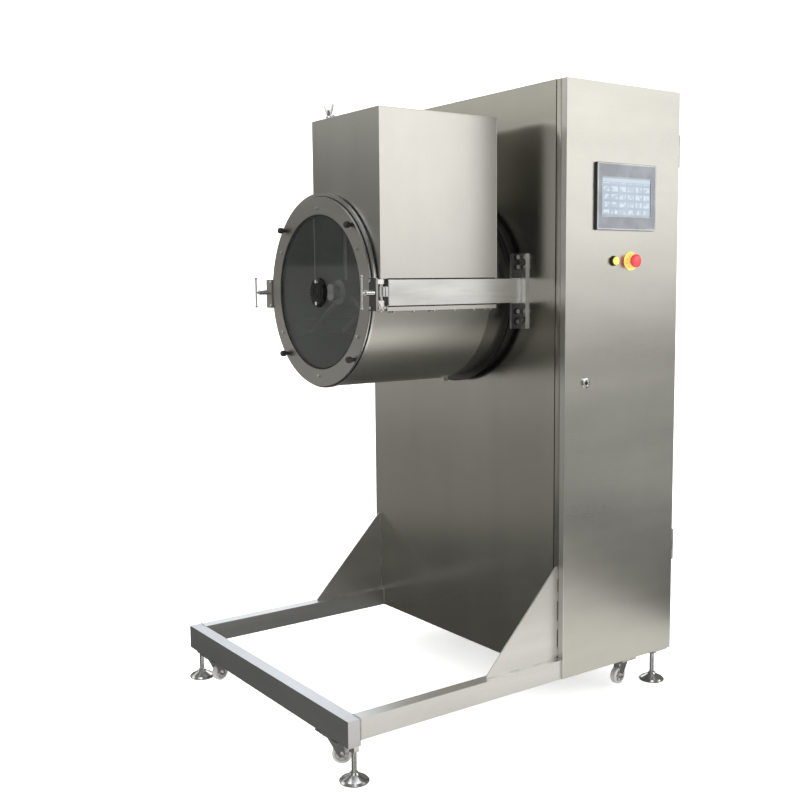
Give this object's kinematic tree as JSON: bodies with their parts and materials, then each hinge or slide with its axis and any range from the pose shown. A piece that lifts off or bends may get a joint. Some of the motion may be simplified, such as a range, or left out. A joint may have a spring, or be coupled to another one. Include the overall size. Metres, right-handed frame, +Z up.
{
  "type": "chocolate depositor",
  "caption": "Stainless steel batch depositor for chocolate and nuts: a glazed horizontal drum with a feed box on a tall cabinet with a touch screen and an open base frame.",
  "frame": {"origin": "bottom centre of the bounding box, on the floor", "axes": "+Z up, -Y towards the drum's door and the front rail, +X towards the side door with the screen"},
  "size_m": [1.057, 1.2979, 1.918],
  "materials": {
    "cabinet_steel": "fine vertical brushing, half mirror",
    "side_steel": "horizontal brushing",
    "frame_steel": "brushed tube, ground welds",
    "box_steel": "satin sheet",
    "shell_steel": "satin rolled sheet",
    "arm_steel": "bright, brushed along the bar",
    "ring_steel": "turned, satin",
    "chrome": "polished",
    "zinc": "plated",
    "glass": "smoked",
    "black_plastic": "moulded",
    "bezel_plastic": "fine grain",
    "screen": "screen, blank",
    "yellow_plastic": "moulded",
    "red_plastic": "moulded",
    "green_plastic": "moulded",
    "wheel_plastic": "grey tread",
    "motor_paint": "satin",
    "panel_grey": "moulded housings",
    "dark_steel": "oiled"
  },
  "bodies": {
    "frame": {"arm_brackets": "arm_steel", "base_front_rail": "frame_steel", "base_side_rails": "frame_steel", "bearing_unit": "zinc", "cabinet_end_panels": "side_steel", "cabinet_frame": "zinc", "cabinet_front_panel": "cabinet_steel", "cabinet_left_panel": "cabinet_steel", "cabinet_rear_panel": "side_steel", "cable_gland": "black_plastic", "caster_plates": "frame_steel", "drive_chain": "dark_steel", "drum_arms": "arm_steel", "drum_rear_wall": "shell_steel", "electric_panel": "panel_grey", "feed_box": "box_steel", "frame_bolts": "zinc", "front_flange": "ring_steel", "gear_motor": "motor_paint", "gusset_plates": "frame_steel", "hinge_pins": "zinc", "levelling_feet": "chrome", "lock_keeper": "zinc", "lower_shell": "shell_steel", "motor_shelf": "zinc", "rear_collar": "shell_steel", "side_door_hinges": "side_steel", "upper_shell": "shell_steel"},
    "drum_door": {"door_ring": "ring_steel", "door_glass": "glass", "glass_clamp_ring": "ring_steel", "glass_hub": "black_plastic", "ring_screws": "ring_steel", "clevis_blocks": "ring_steel"},
    "t_handle_left": {"t_handle_left": "chrome"},
    "t_handle_right": {"t_handle_right": "chrome"},
    "star_knob_upper_right": {"star_knob_upper_right": "black_plastic"},
    "star_knob_upper_left": {"star_knob_upper_left": "black_plastic"},
    "star_knob_lower_left": {"star_knob_lower_left": "black_plastic"},
    "star_knob_lower_right": {"star_knob_lower_right": "black_plastic"},
    "box_lid": {"box_lid": "box_steel"},
    "wing_screw": {"wing_screw": "chrome"},
    "side_door": {"side_door": "side_steel", "hmi_bezel": "bezel_plastic", "hmi_screen": "screen", "button_collars": "yellow_plastic"},
    "lock_cam": {"lock_cam": "zinc"},
    "push_button": {"push_button": "green_plastic"},
    "stop_button": {"stop_button": "red_plastic"},
    "caster_fork_front_left": {"caster_fork_front_left": "chrome"},
    "caster_wheel_front_left": {"caster_wheel_front_left": "wheel_plastic"},
    "caster_fork_front_right": {"caster_fork_front_right": "chrome"},
    "caster_wheel_front_right": {"caster_wheel_front_right": "wheel_plastic"},
    "caster_fork_rear_left": {"caster_fork_rear_left": "chrome"},
    "caster_wheel_rear_left": {"caster_wheel_rear_left": "wheel_plastic"},
    "caster_fork_rear_right": {"caster_fork_rear_right": "chrome"},
    "caster_wheel_rear_right": {"caster_wheel_rear_right": "wheel_plastic"},
    "rotor": {"rotor_shaft": "chrome", "rotor_blades": "chrome"},
    "motor_output": {"motor_sprocket": "dark_steel"}
  },
  "joints": [
    {"name": "drum_door_hinge", "type": "hinge", "parent": "frame", "child": "drum_door", "pos_m": [0.3015, -0.387, 1.3], "axis": [0, 0, 1], "range_deg": [0, 110]},
    {"name": "t_handle_left_turn", "type": "hinge", "parent": "drum_door", "child": "t_handle_left", "pos_m": [-0.3205, -0.453, 1.305], "axis": [0, 1, 0], "continuous": true},
    {"name": "t_handle_right_turn", "type": "hinge", "parent": "drum_door", "child": "t_handle_right", "pos_m": [0.3035, -0.453, 1.305], "axis": [0, 1, 0], "continuous": true},
    {"name": "star_knob_upper_right_turn", "type": "hinge", "parent": "drum_door", "child": "star_knob_upper_right", "pos_m": [0.18525, -0.419, 1.49875], "axis": [0, 1, 0], "continuous": true},
    {"name": "star_knob_upper_left_turn", "type": "hinge", "parent": "drum_door", "child": "star_knob_upper_left", "pos_m": [-0.20225, -0.419, 1.49875], "axis": [0, 1, 0], "continuous": true},
    {"name": "star_knob_lower_left_turn", "type": "hinge", "parent": "drum_door", "child": "star_knob_lower_left", "pos_m": [-0.20225, -0.419, 1.11125], "axis": [0, 1, 0], "continuous": true},
    {"name": "star_knob_lower_right_turn", "type": "hinge", "parent": "drum_door", "child": "star_knob_lower_right", "pos_m": [0.18525, -0.419, 1.11125], "axis": [0, 1, 0], "continuous": true},
    {"name": "box_lid_hinge", "type": "hinge", "parent": "frame", "child": "box_lid", "pos_m": [0.1205, 0.0445, 1.816], "axis": [-1, 0, 0], "range_deg": [0, 95]},
    {"name": "wing_screw_turn", "type": "hinge", "parent": "box_lid", "child": "wing_screw", "pos_m": [0.0005, -0.363, 1.83], "axis": [0, 0, 1], "continuous": true},
    {"name": "side_door_hinge", "type": "hinge", "parent": "frame", "child": "side_door", "pos_m": [0.4895, 0.633, 1.1], "axis": [0, 0, 1], "range_deg": [0, 110]},
    {"name": "lock_cam_turn", "type": "hinge", "parent": "side_door", "child": "lock_cam", "pos_m": [0.4965, 0.222, 1.026], "axis": [1, 0, 0], "range_deg": [0, 90]},
    {"name": "push_button_travel", "type": "slide", "parent": "side_door", "child": "push_button", "axis": [-1, 0, 0], "range_m": [0, 0.003], "stiffness_N_per_m": 400, "springref_m": -0.002},
    {"name": "stop_button_travel", "type": "slide", "parent": "side_door", "child": "stop_button", "axis": [-1, 0, 0], "range_m": [0, 0.004]},
    {"name": "caster_swivel_front_left", "type": "hinge", "parent": "frame", "child": "caster_fork_front_left", "pos_m": [-0.3765, -0.61, 0.095], "axis": [0, 0, 1], "continuous": true},
    {"name": "caster_roll_front_left", "type": "hinge", "parent": "caster_fork_front_left", "child": "caster_wheel_front_left", "pos_m": [-0.38168, -0.59068, 0.0445], "axis": [-0.9659, -0.2588, 0], "continuous": true},
    {"name": "caster_swivel_front_right", "type": "hinge", "parent": "frame", "child": "caster_fork_front_right", "pos_m": [0.3755, -0.61, 0.095], "axis": [0, 0, 1], "continuous": true},
    {"name": "caster_roll_front_right", "type": "hinge", "parent": "caster_fork_front_right", "child": "caster_wheel_front_right", "pos_m": [0.38697, -0.59362, 0.0445], "axis": [-0.8192, 0.5736, 0], "continuous": true},
    {"name": "caster_swivel_rear_left", "type": "hinge", "parent": "frame", "child": "caster_fork_rear_left", "pos_m": [-0.4485, 0.462, 0.095], "axis": [0, 0, 1], "continuous": true},
    {"name": "caster_roll_rear_left", "type": "hinge", "parent": "caster_fork_rear_left", "child": "caster_wheel_rear_left", "pos_m": [-0.4385, 0.44468, 0.0445], "axis": [0.866, 0.5, 0], "continuous": true},
    {"name": "caster_swivel_rear_right", "type": "hinge", "parent": "frame", "child": "caster_fork_rear_right", "pos_m": [0.4315, 0.467, 0.095], "axis": [0, 0, 1], "continuous": true},
    {"name": "caster_roll_rear_right", "type": "hinge", "parent": "caster_fork_rear_right", "child": "caster_wheel_rear_right", "pos_m": [0.43324, 0.44708, 0.0445], "axis": [0.9962, 0.0872, 0], "continuous": true},
    {"name": "rotor_turn", "type": "hinge", "parent": "frame", "child": "rotor", "pos_m": [-0.0085, 0.007, 1.305], "axis": [0, 1, 0], "continuous": true},
    {"name": "motor_output_turn", "type": "hinge", "parent": "frame", "child": "motor_output", "pos_m": [-0.0085, 0.263, 0.88976], "axis": [0, 1, 0], "continuous": true}
  ],
  "couplings": [
    {"joint": "motor_output_turn", "follows": "rotor_turn", "ratio": 2}
  ]
}
